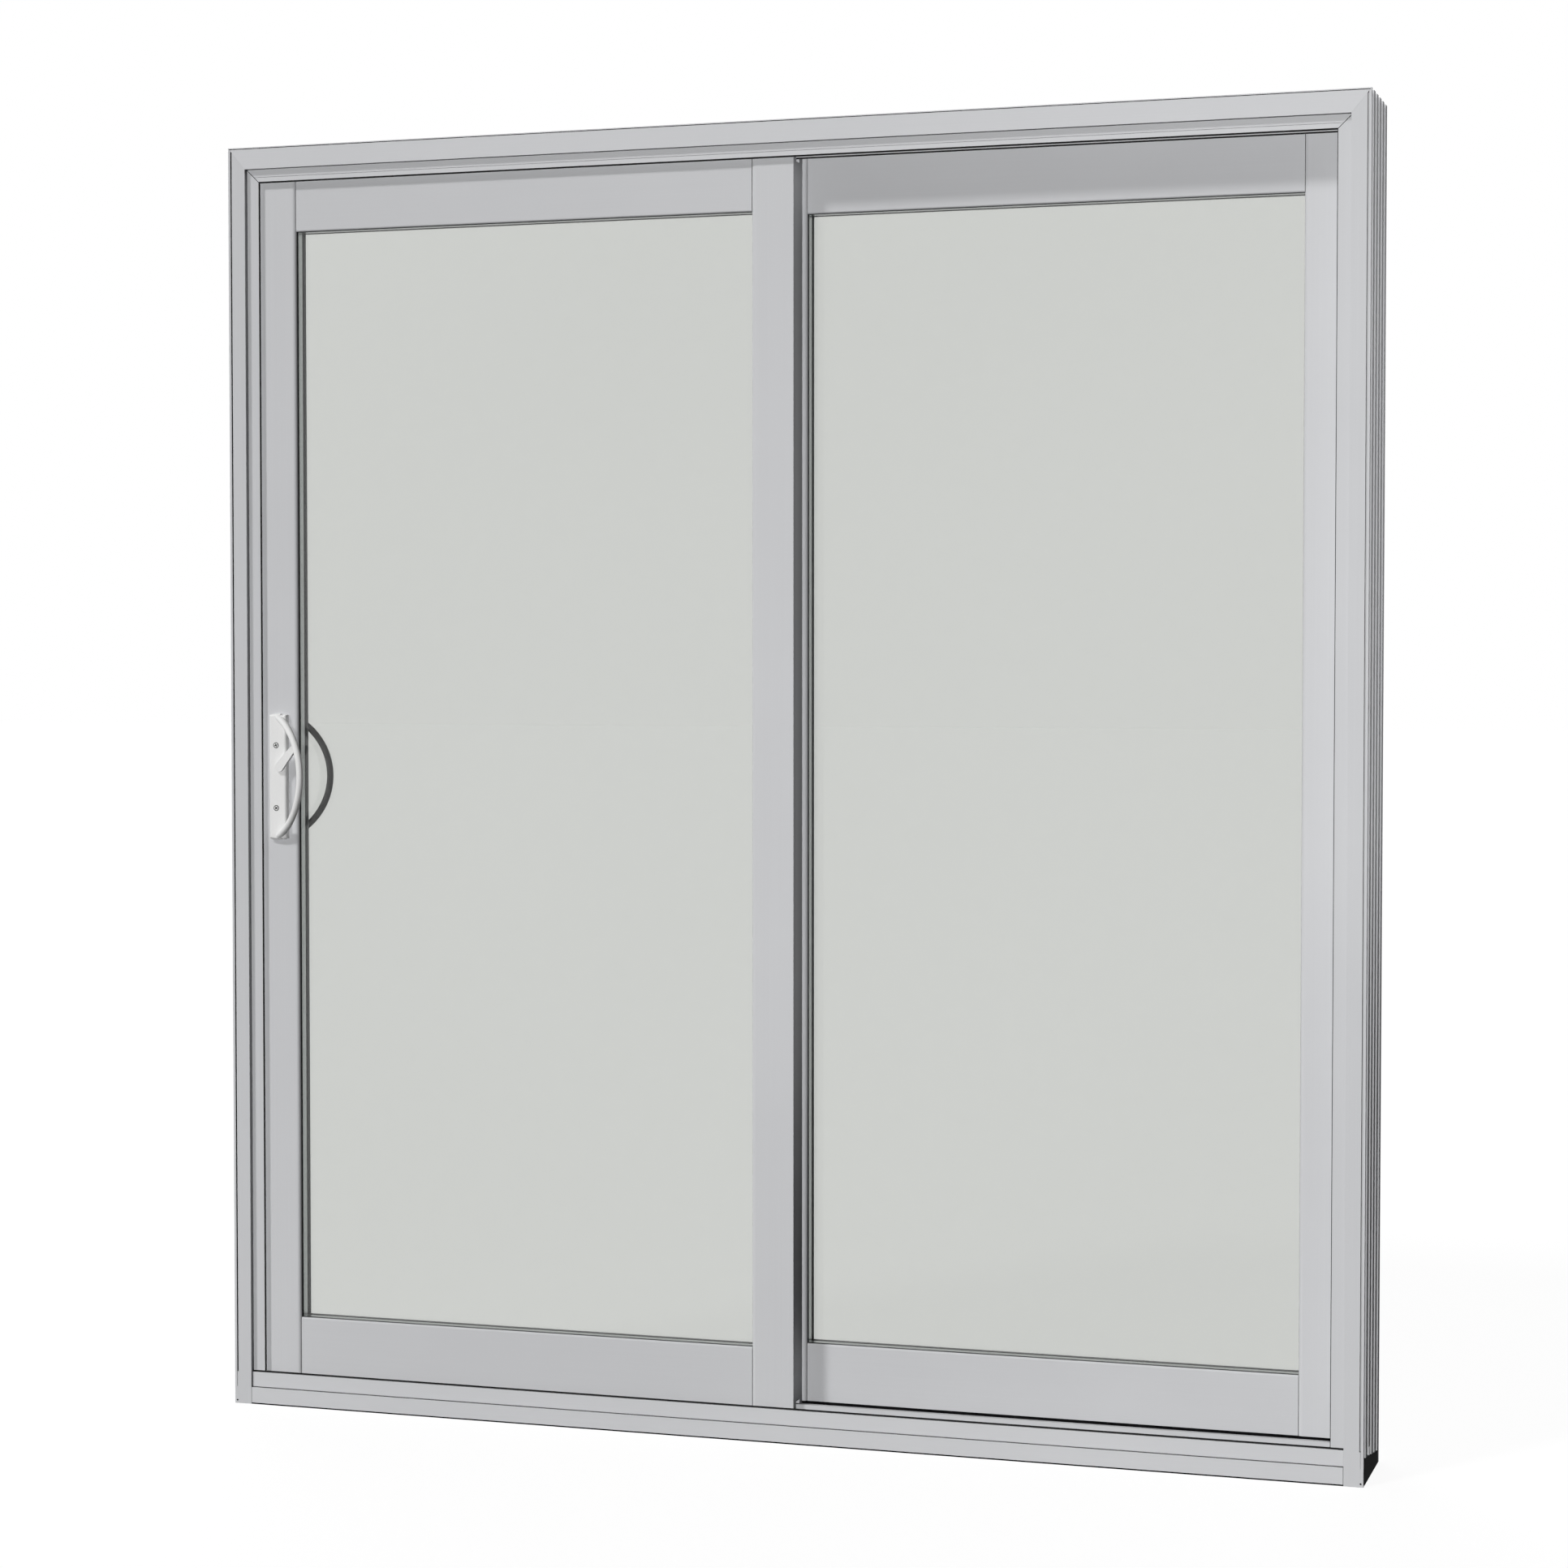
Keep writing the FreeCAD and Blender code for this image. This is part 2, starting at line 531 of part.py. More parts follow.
def handle_plate(depth_range, front_depth):
    """Handle plate with arched, notched ends and its outward edges rounded."""
    right = PLATE_LEFT + PLATE_WIDTH
    back = y_at(depth_range[0])
    corners = {}
    middles = {}
    for end in (-1, 1):
        tip = HANDLE_HEIGHT + end * PLATE_HEIGHT / 2
        corners[end] = [FreeCAD.Vector(x, back, tip - end * PLATE_ARCH) for x in (PLATE_LEFT, right)]
        middles[end] = FreeCAD.Vector(PLATE_CENTRE, back, tip)
    outline = Part.Wire([
        Part.Arc(corners[-1][0], middles[-1], corners[-1][1]).toShape(),
        Part.makeLine(corners[-1][1], corners[1][1]),
        Part.Arc(corners[1][1], middles[1], corners[1][0]).toShape(),
        Part.makeLine(corners[1][0], corners[-1][0])])
    plate = Part.Face(outline).extrude(FreeCAD.Vector(0, depth_range[1] - depth_range[0], 0))
    front = y_at(front_depth)
    rim = [edge for edge in plate.Edges
           if abs(edge.BoundBox.YMin - front) + abs(edge.BoundBox.YMax - front) < SAME_PLACE]
    plate = plate.makeFillet(PLATE_ROUND, rim)
    notch_right = right - PLATE_NOTCH_INSET
    for end in (-1, 1):
        tip = HANDLE_HEIGHT + end * PLATE_HEIGHT / 2
        heights = sorted((tip, tip - end * PLATE_NOTCH_HEIGHT))
        plate = plate.cut(box((notch_right - PLATE_NOTCH_WIDTH, notch_right), depth_range, heights))
    return plate


def pull_section(angle, radius, outward, out_of_plane, root):
    """Oval, many-sided section of the pull at an angle along its arc, broader towards its feet."""
    rise = math.sin(angle) * radius
    swing = math.cos(angle) * radius
    up = FreeCAD.Vector(0, 0, 1)
    centre = root + outward * swing + up * rise
    radial = outward * math.cos(angle) + up * math.sin(angle)
    half_span = math.asin(PULL_SPAN / 2 / radius)
    flare = 1 + PULL_FLARE * abs(angle / half_span) ** PULL_FLARE_POWER
    points = []
    for side in range(PULL_SIDES):
        turn = 2 * math.pi * side / PULL_SIDES
        across = out_of_plane * (PULL_BREADTH * flare * math.cos(turn))
        points.append(centre + across + radial * (PULL_DEPTH * math.sin(turn)))
    return Part.makePolygon(points + points[:1])


def handle_pull(plate_front, side):
    """Curved pull that leaves the plate's ends, swinging outward and over the glass."""
    lean = math.atan2(PULL_STANDOFF, PULL_REACH)
    bulge = math.hypot(PULL_REACH, PULL_STANDOFF)
    half_span = PULL_SPAN / 2
    radius = (half_span ** 2 + bulge ** 2) / (2 * bulge)
    outward = FreeCAD.Vector(math.cos(lean), side * math.sin(lean), 0)
    out_of_plane = FreeCAD.Vector(math.sin(lean), -side * math.cos(lean), 0)
    middle = FreeCAD.Vector(PLATE_CENTRE + PULL_OFFSET, y_at(plate_front), HANDLE_HEIGHT)
    root = middle + outward * (bulge - radius)
    reach_angle = math.asin(half_span / radius) + PULL_ROOT / radius
    sections = []
    for step in range(PULL_SECTIONS):
        angle = reach_angle * (2 * step / (PULL_SECTIONS - 1) - 1)
        sections.append(pull_section(angle, radius, outward, out_of_plane, root))
    pull = Part.makeLoft(sections, True, True)
    behind = PULL_STANDOFF + PANEL_THICKNESS
    depths = (plate_front, plate_front + behind) if side < 0 else (plate_front - behind, plate_front)
    half = PLATE_HEIGHT
    body = box((PLATE_LEFT - half, PLATE_LEFT + half), depths, (HANDLE_HEIGHT - half, HANDLE_HEIGHT + half))
    return pull.cut(body)


def thumb_lever(plate_front):
    """Thumb lever with its hub and the spindle that enters the plate."""
    front = plate_front - LEVER_GAP
    depths = (front - LEVER_THICKNESS, front)
    lean = math.radians(LEVER_ANGLE)
    tip_x = LEVER_X + LEVER_LENGTH * math.cos(lean)
    tip_z = LEVER_Z + LEVER_LENGTH * math.sin(lean)
    spread = math.acos((LEVER_HUB - LEVER_TIP) / LEVER_LENGTH)
    outline = []
    for x, z, radius, turn in ((LEVER_X, LEVER_Z, LEVER_HUB, 1), (tip_x, tip_z, LEVER_TIP, 1),
                               (tip_x, tip_z, LEVER_TIP, -1), (LEVER_X, LEVER_Z, LEVER_HUB, -1)):
        angle = lean + turn * spread
        outline.append((x + radius * math.cos(angle), z + radius * math.sin(angle)))
    lever = along_y(outline, depths)
    lever = lever.fuse(across_y(LEVER_HUB, depths, LEVER_X, LEVER_Z))
    lever = lever.fuse(across_y(LEVER_TIP, depths, tip_x, tip_z))
    spindle = across_y(SPINDLE_RADIUS, (front, front + SPINDLE_LENGTH), LEVER_X, LEVER_Z)
    return lever.fuse(spindle).removeSplitter()


def make_handles():
    """Room-side handle with its thumb lever, and the outside handle on the other face."""
    room_front = PANEL_SETBACK - PLATE_THICKNESS
    room_plate = handle_plate((room_front, PANEL_SETBACK), room_front)
    bore = across_y(SPINDLE_RADIUS + SPINDLE_CLEARANCE, (room_front, PANEL_SETBACK), LEVER_X, LEVER_Z)
    save("room_handle_plate", room_plate.cut(bore))
    save("room_handle_pull", handle_pull(room_front, -1))
    save("thumb_lever", thumb_lever(room_front))
    outside_front = SLIDING_BACK + PLATE_THICKNESS
    save("outside_handle_plate", handle_plate((SLIDING_BACK, outside_front), outside_front))
    save("outside_handle_pull", handle_pull(outside_front, 1))


os.makedirs("parts", exist_ok=True)
whole_head = head_region((0, FRAME_DEPTH), 0)
make_head(whole_head)
make_jambs(whole_head)
make_stops(whole_head)
make_head_guide()
make_sill()
make_fixed_panel()
make_sliding_panel()
make_rollers()
make_handles()
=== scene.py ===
"""Looks of the glass sliding patio door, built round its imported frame."""
import json
import math

import bmesh
import bpy
from mathutils import Matrix, Vector


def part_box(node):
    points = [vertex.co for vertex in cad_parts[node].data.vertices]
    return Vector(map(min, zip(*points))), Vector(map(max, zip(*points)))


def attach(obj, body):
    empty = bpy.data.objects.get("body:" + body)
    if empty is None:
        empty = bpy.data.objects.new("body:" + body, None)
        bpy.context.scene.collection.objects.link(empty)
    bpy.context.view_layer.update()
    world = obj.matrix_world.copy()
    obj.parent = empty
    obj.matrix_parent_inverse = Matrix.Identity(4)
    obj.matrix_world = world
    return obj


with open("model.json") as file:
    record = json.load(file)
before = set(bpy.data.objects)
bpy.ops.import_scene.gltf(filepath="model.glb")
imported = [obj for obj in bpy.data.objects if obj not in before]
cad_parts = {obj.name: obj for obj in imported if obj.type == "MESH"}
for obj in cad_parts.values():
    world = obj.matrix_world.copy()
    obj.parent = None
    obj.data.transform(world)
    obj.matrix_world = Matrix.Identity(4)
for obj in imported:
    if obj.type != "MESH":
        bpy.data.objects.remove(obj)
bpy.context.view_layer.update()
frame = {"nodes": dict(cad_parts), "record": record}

# Camera, from the straight edges of the frame in the photograph
CAMERA_PLACE = (1.5482, -4.8363, 1.1872)
CAMERA_TILT = math.radians(90 - 2.003)
CAMERA_TURN = math.radians(17.767)
CAMERA_LENS = 75.31
CAMERA_REACH = 200.0
SENSOR = 36.0

# Lamps, of which only the key casts shadows
SUN_DISTANCE = 5.0
KEY_DIRECTION = Vector((-0.657, -1.0, 1.07))
KEY_STRENGTH = 1.45
KEY_SOFTNESS = math.radians(9)
FRONT_DIRECTION = Vector((-0.30, -1.0, 0.30))
FRONT_STRENGTH = 1.70
FRONT_SOFTNESS = math.radians(6)
FILL_PLACE = Vector((1.5, -3.6, 1.1))
FILL_AIM = Vector((1.2, 0.0, 1.0))
FILL_POWER = 50.0
FILL_RADIUS = 0.3
FILL_CONE = math.radians(54)
FILL_FADE = 1.0
RIM_PLACE = Vector((4.0, -1.0, 2.0))
RIM_AIM = Vector((0.03, -0.03, 2.1))
RIM_POWER = 90.0
RIM_RADIUS = 0.2
RIM_CONE = math.radians(47)
RIM_FADE = 0.25

# Surroundings as soft lights: direction, sharpness and strength
EVEN_LIGHT = 0.02
SOFT_LIGHTS = (
    (Vector((0.0, -0.15, 1.0)), 10.0, 0.2),
    (Vector((-0.50, 0.82, 0.28)), 16.0, 8.0),
)
WHITE = (1, 1, 1, 1)
FLOOR_REACH = 60.0
FLOOR_GLOW = 0.93
FLOOR_COLOUR = (0.1, 0.1, 0.1, 1)

# Noise lies mostly between these two values, where a colour runs from its dark to its light end
NOISE_LOW = 0.3
NOISE_HIGH = 0.7

# Satin profiles, with draw lines counted per metre, and painted light for some slots and directions: a
# lighter colour standing in for more light on those members
PROFILE_SLOTS = ("frame_profile", "panel_profile", "track_profile")
PROFILE_LIGHT = (0.615, 0.620, 0.634)
PROFILE_DARK = (0.585, 0.590, 0.605)
PROFILE_SPECULAR = 0.006
PROFILE_ROUGHNESS = (0.5, 0.66)
LINES_ACROSS = 700.0
LINES_ALONG = 2.0
LINE_DETAIL = 2.0
LINE_SHARE = 0.3
LINE_DEPTH = 0.00002
CLOUDS = (3.0, 3.0, 3.0)
CLOUD_DETAIL = 3.0
CLOUD_SHARE = 0.7
PAINTED_LIGHT_TONES = {("frame_profile", 0): 1.06, ("panel_profile", 0): 1.0, ("panel_profile", 2): 1.02}

# Rounded edges, and painted shade in corners, gaps and grooves on surfaces that face sideways, up or
# down.
# The painted shade starts and is full where the depth part of the surface's direction is under two
# limits
EDGE_ROUND = 0.0006
EDGE_SAMPLES = 4
PAINTED_SHADE_REACHES = (0.010, 0.050)
PAINTED_SHADE_SAMPLES = 6
WALL_START = 0.5
WALL_FULL = 0.2

# Glass
GLASS_DARK = (0.766, 0.774, 0.760)
GLASS_LIGHT = (0.774, 0.782, 0.768)
GLASS_CLOUDS = (0.8, 0.8, 0.8)
GLASS_DETAIL = 1.0
GLASS_SPECULAR = 0.03
GLASS_IOR = 1.45

# Other finishes: two colours, a range of roughness, grains per metre along each axis and their relief
OPAQUE_FINISHES = {
    "sill_core": dict(dark=(0.004, 0.004, 0.004), light=(0.008, 0.008, 0.009), roughness=(0.85, 1.0),
                      specular=0.03, grains=(900, 900, 900), detail=3, depth=0.0001),
    "spacer": dict(dark=(0.40, 0.42, 0.42), light=(0.50, 0.52, 0.52), roughness=(0.26, 0.34),
                   specular=0.5, grains=(500, 500, 500), detail=1, depth=0.00002, metallic=1.0),
    "gasket": dict(dark=(0.008, 0.008, 0.008), light=(0.016, 0.016, 0.016), roughness=(0.6, 0.8),
                   specular=0.15, grains=(600, 600, 600), detail=2, depth=0.00005),
    "seal_pile": dict(dark=(0.012, 0.012, 0.012), light=(0.06, 0.06, 0.06), roughness=(0.9, 1.0),
                      specular=0.05, grains=(2500, 2500, 2500), detail=2, depth=0.0004),
    "white_handle": dict(dark=(0.79, 0.79, 0.785), light=(0.815, 0.815, 0.81), roughness=(0.34, 0.44),
                         specular=0.3, grains=(450, 450, 450), detail=2, depth=0.00003),
    "dark_handle": dict(dark=(0.004, 0.005, 0.005), light=(0.008, 0.009, 0.010), roughness=(0.38, 0.5),
                        specular=0.03, grains=(450, 450, 450), detail=2, depth=0.00003),
    "steel": dict(dark=(0.42, 0.42, 0.43), light=(0.55, 0.55, 0.56), roughness=(0.28, 0.42),
                  specular=0.5, grains=(1500, 1500, 12), detail=2, depth=0.00002, metallic=1.0),
    "roller_nylon": dict(dark=(0.55, 0.55, 0.51), light=(0.62, 0.62, 0.58), roughness=(0.45, 0.6),
                         specular=0.3, grains=(800, 800, 800), detail=2, depth=0.00003),
    # recess: near-black painted shade for the hollows of screw recesses, the rings round screw heads and
    # pin holes
    "recess": dict(dark=(0.01, 0.01, 0.01), light=(0.03, 0.03, 0.03), roughness=(0.7, 0.9),
                   specular=0.1, grains=(900, 900, 900), detail=2, depth=0.00005),
}

# Smooth shading of the pulls
PULLS = ("room_handle_pull", "outside_handle_pull")
SMOOTH_ANGLE = math.radians(35)
WELD_DISTANCE = 1e-5

# Screws, with a ring of painted shade round the head, and the bars of a painted-shade cross recess sized
# from the head
SCREW_RADIUS = 0.0035
SCREW_SHADE_RADIUS = 0.0047
SCREW_RISE = 0.0004
SHADE_RISE = SCREW_RISE / 2
SCREW_SLOT = 0.0015
SCREW_SIDES = 24
BAR_LENGTH = SCREW_RADIUS * 1.5
BAR_HEIGHT = SCREW_RISE * 1.05
BAR_THICKNESS = SCREW_RISE * 0.3
HANDLE_SCREW_SPACING = 0.1008
HANDLE_SCREW_INSET = 0.013
LOCK_SCREW_SPACING = 0.13

# Each screw's name, its side of the plate's middle and the turn of its recess in radians
HANDLE_SCREWS = (("upper", 1, 0.35), ("lower", -1, 0.75))
LOCK_SCREWS = (("upper", 1, 1.0), ("lower", -1, -1.0))

# Pin holes at the feet of the jambs, painted as near-black discs of shade
PIN_RADIUS = 0.0014
PIN_INSET = 0.004
PIN_HEIGHT = 0.005

# Places of a mix node's colour sockets
MIX_FIRST = 6
MIX_SECOND = 7
MIX_RESULT = 2

# A ray whose diffuse depth is over this has scattered on a surface
SCATTERED = 0.5


def new_material(name):
    """A node material with its tree's nodes and links and its Principled shader."""
    material = bpy.data.materials.new(name)
    material.use_nodes = True
    nodes = material.node_tree.nodes
    return material, nodes, material.node_tree.links, nodes["Principled BSDF"]


def calculated(nodes, links, operation, first, second):
    """Result of a calculation on two values, each a socket or a number."""
    node = nodes.new("ShaderNodeMath")
    node.operation = operation
    for socket, value in zip(node.inputs, (first, second)):
        if isinstance(value, bpy.types.NodeSocket):
            links.new(value, socket)
        else:
            socket.default_value = value
    return node.outputs[0]


def noise(nodes, links, cells, detail):
    """Noise over the piece's own coordinates, with a number of cells per metre along each axis."""
    place = nodes.new("ShaderNodeTexCoord")
    mapping = nodes.new("ShaderNodeMapping")
    mapping.inputs["Scale"].default_value = cells
    texture = nodes.new("ShaderNodeTexNoise")
    texture.inputs["Scale"].default_value = 1.0
    texture.inputs["Detail"].default_value = detail
    links.new(place.outputs["Object"], mapping.inputs["Vector"])
    links.new(mapping.outputs["Vector"], texture.inputs["Vector"])
    return texture.outputs["Fac"]


def blend_colours(nodes, links, factor, dark, light):
    """Colour between two, by a factor that mostly lies near one half."""
    ramp = nodes.new("ShaderNodeValToRGB")
    low, high = ramp.color_ramp.elements
    low.position = NOISE_LOW
    low.color = (*dark, 1)
    high.position = NOISE_HIGH
    high.color = (*light, 1)
    links.new(factor, ramp.inputs["Fac"])
    return ramp.outputs["Color"]


def spread(nodes, links, factor, low, high):
    """A factor mapped to a range of values."""
    level = nodes.new("ShaderNodeMapRange")
    level.inputs["To Min"].default_value = low
    level.inputs["To Max"].default_value = high
    links.new(factor, level.inputs["Value"])
    return level.outputs["Result"]


def relief(nodes, links, shader, height, depth):
    """Shallow relief on softly rounded edges."""
    edge = nodes.new("ShaderNodeBevel")
    edge.samples = EDGE_SAMPLES
    edge.inputs["Radius"].default_value = EDGE_ROUND
    bump = nodes.new("ShaderNodeBump")
    bump.inputs["Distance"].default_value = depth
    links.new(height, bump.inputs["Height"])
    links.new(edge.outputs["Normal"], bump.inputs["Normal"])
    links.new(bump.outputs["Normal"], shader.inputs["Normal"])


def opaque_material(name, dark, light, roughness, specular, grains, detail, depth, metallic=0.0):
    """Opaque finish with uneven colour, gloss and relief of one grain."""
    material, nodes, links, shader = new_material(name)
    shader.inputs["Metallic"].default_value = metallic
    shader.inputs["Specular IOR Level"].default_value = specular
    grain = noise(nodes, links, grains, detail)
    links.new(blend_colours(nodes, links, grain, dark, light), shader.inputs["Base Color"])
    links.new(spread(nodes, links, grain, *roughness), shader.inputs["Roughness"])
    relief(nodes, links, shader, grain, depth)
    return material


def painted_shade_walls(nodes, links):
    """Where the painted shade goes: 1 on surfaces that face sideways, up or down, and 0 on those that
    face the room or the outside.
    """
    place = nodes.new("ShaderNodeTexCoord")
    facing = nodes.new("ShaderNodeSeparateXYZ")
    links.new(place.outputs["Normal"], facing.inputs["Vector"])
    wall = nodes.new("ShaderNodeMapRange")
    wall.inputs["From Min"].default_value = WALL_START
    wall.inputs["From Max"].default_value = WALL_FULL
    links.new(calculated(nodes, links, "ABSOLUTE", facing.outputs["Y"], 0.0), wall.inputs["Value"])
    return wall.outputs["Result"]


def painted_corner_shade(nodes, links, colour):
    """A colour darkened by painted shade, from ambient occlusion, in the corners, gaps and grooves of
    side walls.
    """
    shaded_colour = colour
    # painted shade: each ambient occlusion node darkens the colour where nearby surfaces would shade it
    for reach in PAINTED_SHADE_REACHES:
        corners = nodes.new("ShaderNodeAmbientOcclusion")
        corners.samples = PAINTED_SHADE_SAMPLES
        corners.inputs["Distance"].default_value = reach
        links.new(shaded_colour, corners.inputs["Color"])
        shaded_colour = corners.outputs["Color"]
    blend = nodes.new("ShaderNodeMix")
    blend.data_type = "RGBA"
    links.new(painted_shade_walls(nodes, links), blend.inputs["Factor"])
    links.new(colour, blend.inputs[MIX_FIRST])
    links.new(shaded_colour, blend.inputs[MIX_SECOND])
    return blend.outputs[MIX_RESULT]


def profile_material(name, along, painted_light_share):
    """Satin extruded profile with faint draw lines along one axis, cloudy tone, painted shade in corners
    and, on some members, painted light.
    """
    material, nodes, links, shader = new_material(name)
    shader.inputs["Specular IOR Level"].default_value = PROFILE_SPECULAR
    cells = [LINES_ACROSS, LINES_ACROSS, LINES_ACROSS]
    cells[along] = LINES_ALONG
    lines = noise(nodes, links, cells, LINE_DETAIL)
    clouds = noise(nodes, links, CLOUDS, CLOUD_DETAIL)
    line_tone = calculated(nodes, links, "MULTIPLY", lines, LINE_SHARE)
    cloud_tone = spread(nodes, links, clouds, 0.0, CLOUD_SHARE)
    tone = calculated(nodes, links, "ADD", line_tone, cloud_tone)
    # painted light: some members get a lighter copy of the colour for the light that falls on them
    dark = [value * painted_light_share for value in PROFILE_DARK]
    light = [value * painted_light_share for value in PROFILE_LIGHT]
    colour = blend_colours(nodes, links, tone, dark, light)
    # painted shade: the base colour is darkened in the corners, gaps and grooves of side walls
    links.new(painted_corner_shade(nodes, links, colour), shader.inputs["Base Color"])
    links.new(spread(nodes, links, lines, *PROFILE_ROUGHNESS), shader.inputs["Roughness"])
    relief(nodes, links, shader, lines, LINE_DEPTH)
    return material


def glass_material():
    """Lightly tinted clear glass with a barely uneven tint."""
    material, nodes, links, shader = new_material("clear_glass")
    clouds = noise(nodes, links, GLASS_CLOUDS, GLASS_DETAIL)
    links.new(blend_colours(nodes, links, clouds, GLASS_DARK, GLASS_LIGHT), shader.inputs["Base Color"])
    shader.inputs["Roughness"].default_value = 0.0
    shader.inputs["IOR"].default_value = GLASS_IOR
    shader.inputs["Specular IOR Level"].default_value = GLASS_SPECULAR
    shader.inputs["Transmission Weight"].default_value = 1.0
    return material


def make_finishes():
    """Finish of each material slot; profile slots have one per direction of their length."""
    finishes = {}
    for axis, label in enumerate("xyz"):
        for slot in PROFILE_SLOTS:
            painted_light_share = PAINTED_LIGHT_TONES.get((slot, axis), 1.0)
            finishes[slot, axis] = profile_material(slot + "_along_" + label, axis, painted_light_share)
    plain = {slot: opaque_material(slot, **facts) for slot, facts in OPAQUE_FINISHES.items()}
    plain["glass"] = glass_material()
    finishes.update({(slot, axis): material for slot, material in plain.items() for axis in range(3)})
    return finishes


def longest_axis(node_name):
    """Axis along which a piece is longest."""
    low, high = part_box(node_name)
    lengths = [high[axis] - low[axis] for axis in range(3)]
    return lengths.index(max(lengths))


def dress_nodes(finishes):
    """Give every carried-over piece the finish of its slot."""
    for subpart in frame["record"]["subparts"]:
        node = frame["nodes"][subpart["node"]]
        node.data.materials.clear()
        node.data.materials.append(finishes[subpart["material_slot"], longest_axis(subpart["node"])])


def smooth_pulls():
    """Shade the many-sided pulls as smooth bars."""
    tree = bpy.data.node_groups.new("smooth_shading", "GeometryNodeTree")
    tree.interface.new_socket("Geometry", in_out="INPUT", socket_type="NodeSocketGeometry")
    tree.interface.new_socket("Geometry", in_out="OUTPUT", socket_type="NodeSocketGeometry")
    nodes = tree.nodes
    given = nodes.new("NodeGroupInput")
    weld = nodes.new("GeometryNodeMergeByDistance")
    weld.inputs["Distance"].default_value = WELD_DISTANCE
    angle = nodes.new("GeometryNodeInputMeshEdgeAngle")
    sharp = nodes.new("FunctionNodeCompare")
    sharp.inputs["B"].default_value = SMOOTH_ANGLE
    normals = nodes.new("GeometryNodeSetMeshNormal")
    normals.mode = "SHARPNESS"
    normals.inputs["Remove Custom"].default_value = True
    result = nodes.new("NodeGroupOutput")
    links = tree.links
    links.new(given.outputs[0], weld.inputs["Geometry"])
    links.new(weld.outputs["Geometry"], normals.inputs["Mesh"])
    links.new(angle.outputs["Unsigned Angle"], sharp.inputs["A"])
    links.new(sharp.outputs["Result"], normals.inputs["Edge Sharpness"])
    links.new(normals.outputs["Mesh"], result.inputs[0])
    for name in PULLS:
        frame["nodes"][name].modifiers.new("smooth_shading", "NODES").node_group = tree


def disc(mesh, radius, height):
    """Add a short round bar that stands on the local XY plane."""
    lift = Matrix.Translation((0, 0, height / 2))
    bmesh.ops.create_cone(mesh, cap_ends=True, segments=SCREW_SIDES, radius1=radius, radius2=radius,
                          depth=height, matrix=lift)


def link_mesh(name, mesh, material, place, out, body):
    """Turn a built mesh into a piece that faces out of a surface and rides on a body."""
    data = bpy.data.meshes.new(name)
    mesh.to_mesh(data)
    mesh.free()
    data.materials.append(material)
    piece = bpy.data.objects.new(name, data)
    piece.matrix_world = Matrix.Translation(place) @ out.to_track_quat("Z", "Y").to_matrix().to_4x4()
    bpy.context.scene.collection.objects.link(piece)
    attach(piece, body)


def add_screw(name, place, out, turn, body, slot, finishes):
    """Screw almost flush with a surface, with a cross recess and a ring round its head painted
    near-black as shade.
    """
    # painted shade: a near-black ring and cross stand in for the shade in the screw's hollows
    shade_marks = bmesh.new()
    disc(shade_marks, SCREW_SHADE_RADIUS, SHADE_RISE)
    for angle in (turn, turn + math.pi / 2):
        spin = Matrix.Rotation(angle, 4, "Z") @ Matrix.Translation((0, 0, BAR_HEIGHT))
        size = Matrix.Diagonal((BAR_LENGTH, SCREW_SLOT, BAR_THICKNESS, 1))
        bmesh.ops.create_cube(shade_marks, size=1.0, matrix=spin @ size)
    link_mesh(name + "_recess", shade_marks, finishes["recess", 0], place, out, body)
    head = bmesh.new()
    disc(head, SCREW_RADIUS, SCREW_RISE)
    link_mesh(name + "_head", head, finishes[slot, 0], place, out, body)


def add_handle_screws(finishes):
    """Screws of the room-side and outside handle plates."""
    low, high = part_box("room_handle_plate")
    outside_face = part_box("outside_handle_plate")[1][1]
    middle = (low[2] + high[2]) / 2
    x = low[0] + HANDLE_SCREW_INSET
    for label, sign, turn in HANDLE_SCREWS:
        z = middle + sign * HANDLE_SCREW_SPACING / 2
        add_screw("room_" + label + "_screw", (x, low[1], z), Vector((0, -1, 0)), turn,
                  "sliding_panel", "white_handle", finishes)
        add_screw("outside_" + label + "_screw", (x, outside_face, z), Vector((0, 1, 0)), turn,
                  "sliding_panel", "dark_handle", finishes)


def add_lock_screws(finishes):
    """Screws of the latch's face plate and of its keeper."""
    for node, side, body in (("latch_face_plate", -1, "sliding_panel"), ("keeper_plate", 1, "frame")):
        low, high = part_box(node)
        face = low[0] if side < 0 else high[0]
        y = (low[1] + high[1]) / 2
        for label, sign, turn in LOCK_SCREWS:
            z = (low[2] + high[2]) / 2 + sign * LOCK_SCREW_SPACING / 2
            add_screw(node + "_" + label + "_screw", (face, y, z), Vector((side, 0, 0)), turn,
                      body, "steel", finishes)


def add_pin_holes(finishes):
    """Small holes low on the faces of the two jambs, painted as near-black discs for the shade inside
    them.
    """
    for node, side in (("lock_jamb", -1), ("fixed_jamb", 1)):
        low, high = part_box(node)
        edge = low[0] if side < 0 else high[0]
        place = (edge - side * PIN_INSET, low[1], PIN_HEIGHT)
        hole = bmesh.new()
        disc(hole, PIN_RADIUS, SHADE_RISE)
        link_mesh(node + "_pin_hole", hole, finishes["recess", 0], place, Vector((0, -1, 0)),
                  "frame")


def make_camera():
    """Camera at the photograph's viewpoint."""
    camera = bpy.data.cameras.new("photo_camera")
    camera.lens = CAMERA_LENS
    camera.sensor_width = SENSOR
    camera.clip_end = CAMERA_REACH
    placed = bpy.data.objects.new("photo_camera", camera)
    placed.location = CAMERA_PLACE
    placed.rotation_euler = (CAMERA_TILT, 0, CAMERA_TURN)
    bpy.context.scene.collection.objects.link(placed)
    bpy.context.scene.camera = placed


